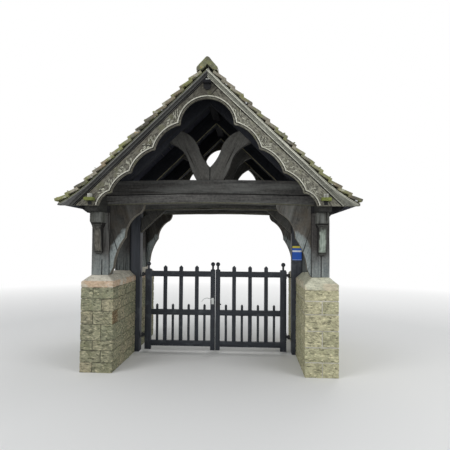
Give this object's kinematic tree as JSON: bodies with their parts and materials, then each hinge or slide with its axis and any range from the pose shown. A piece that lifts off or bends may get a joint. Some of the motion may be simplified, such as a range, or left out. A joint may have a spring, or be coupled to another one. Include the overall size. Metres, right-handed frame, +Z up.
{
  "type": "lychgate",
  "caption": "Open timber gateway on dwarf stone walls, with a stone-tiled gabled roof, carved bargeboards and a pair of picket gates.",
  "frame": {"origin": "on the ground, in the middle of the passage and under the middle of the roof", "axes": "+Z up, +X to the right seen from the front, +Y through the gateway towards the rear gable; the gates open towards +Y"},
  "size_m": [3.562, 3.156, 3.7614],
  "materials": {
    "sandstone": "tooled",
    "stone_tiles": "weathered",
    "dark_oak": "weathered",
    "silvered_oak": "weathered",
    "stained_gate_oak": "stained",
    "black_iron": "painted",
    "latch_iron": "galvanised",
    "notice_enamel": "enamelled"
  },
  "bodies": {
    "frame": {"arched_braces": "dark_oak", "carved_brackets": "dark_oak", "eaves_pads": "dark_oak", "front_left_bargeboard": "silvered_oak", "front_right_bargeboard": "silvered_oak", "front_tie_beam": "dark_oak", "gate_hooks": "black_iron", "gate_posts": "dark_oak", "left_coping": "sandstone", "left_posts": "dark_oak", "left_rafters": "dark_oak", "left_roof_boards": "dark_oak", "left_roof_tiles": "stone_tiles", "left_side_wall": "sandstone", "left_struts": "dark_oak", "left_verge_mouldings": "silvered_oak", "left_wall_plate": "dark_oak", "middle_tie_beam": "dark_oak", "notice_plate": "notice_enamel", "rear_left_bargeboard": "silvered_oak", "rear_right_bargeboard": "silvered_oak", "rear_tie_beam": "dark_oak", "ridge_beam": "dark_oak", "ridge_stones": "stone_tiles", "right_coping": "sandstone", "right_posts": "dark_oak", "right_rafters": "dark_oak", "right_roof_boards": "dark_oak", "right_roof_tiles": "stone_tiles", "right_side_wall": "sandstone", "right_struts": "dark_oak", "right_verge_mouldings": "silvered_oak", "right_wall_plate": "dark_oak", "straight_braces": "dark_oak", "tenon_wedges": "dark_oak"},
    "left_gate": {"left_gate_stiles": "stained_gate_oak", "left_gate_rails": "stained_gate_oak", "left_gate_pickets": "stained_gate_oak", "left_hinge_eyes": "black_iron", "latch_handle": "latch_iron"},
    "right_gate": {"right_gate_stiles": "stained_gate_oak", "right_gate_rails": "stained_gate_oak", "right_gate_pickets": "stained_gate_oak", "right_hinge_eyes": "black_iron", "latch_catch": "black_iron"}
  },
  "joints": [
    {"name": "left_gate_swing", "type": "hinge", "parent": "frame", "child": "left_gate", "pos_m": [-1.0725, 0, 0], "axis": [0, 0, 1], "range_deg": [0, 90]},
    {"name": "right_gate_swing", "type": "hinge", "parent": "frame", "child": "right_gate", "pos_m": [1.0725, 0, 0], "axis": [0, 0, -1], "range_deg": [0, 90]}
  ]
}
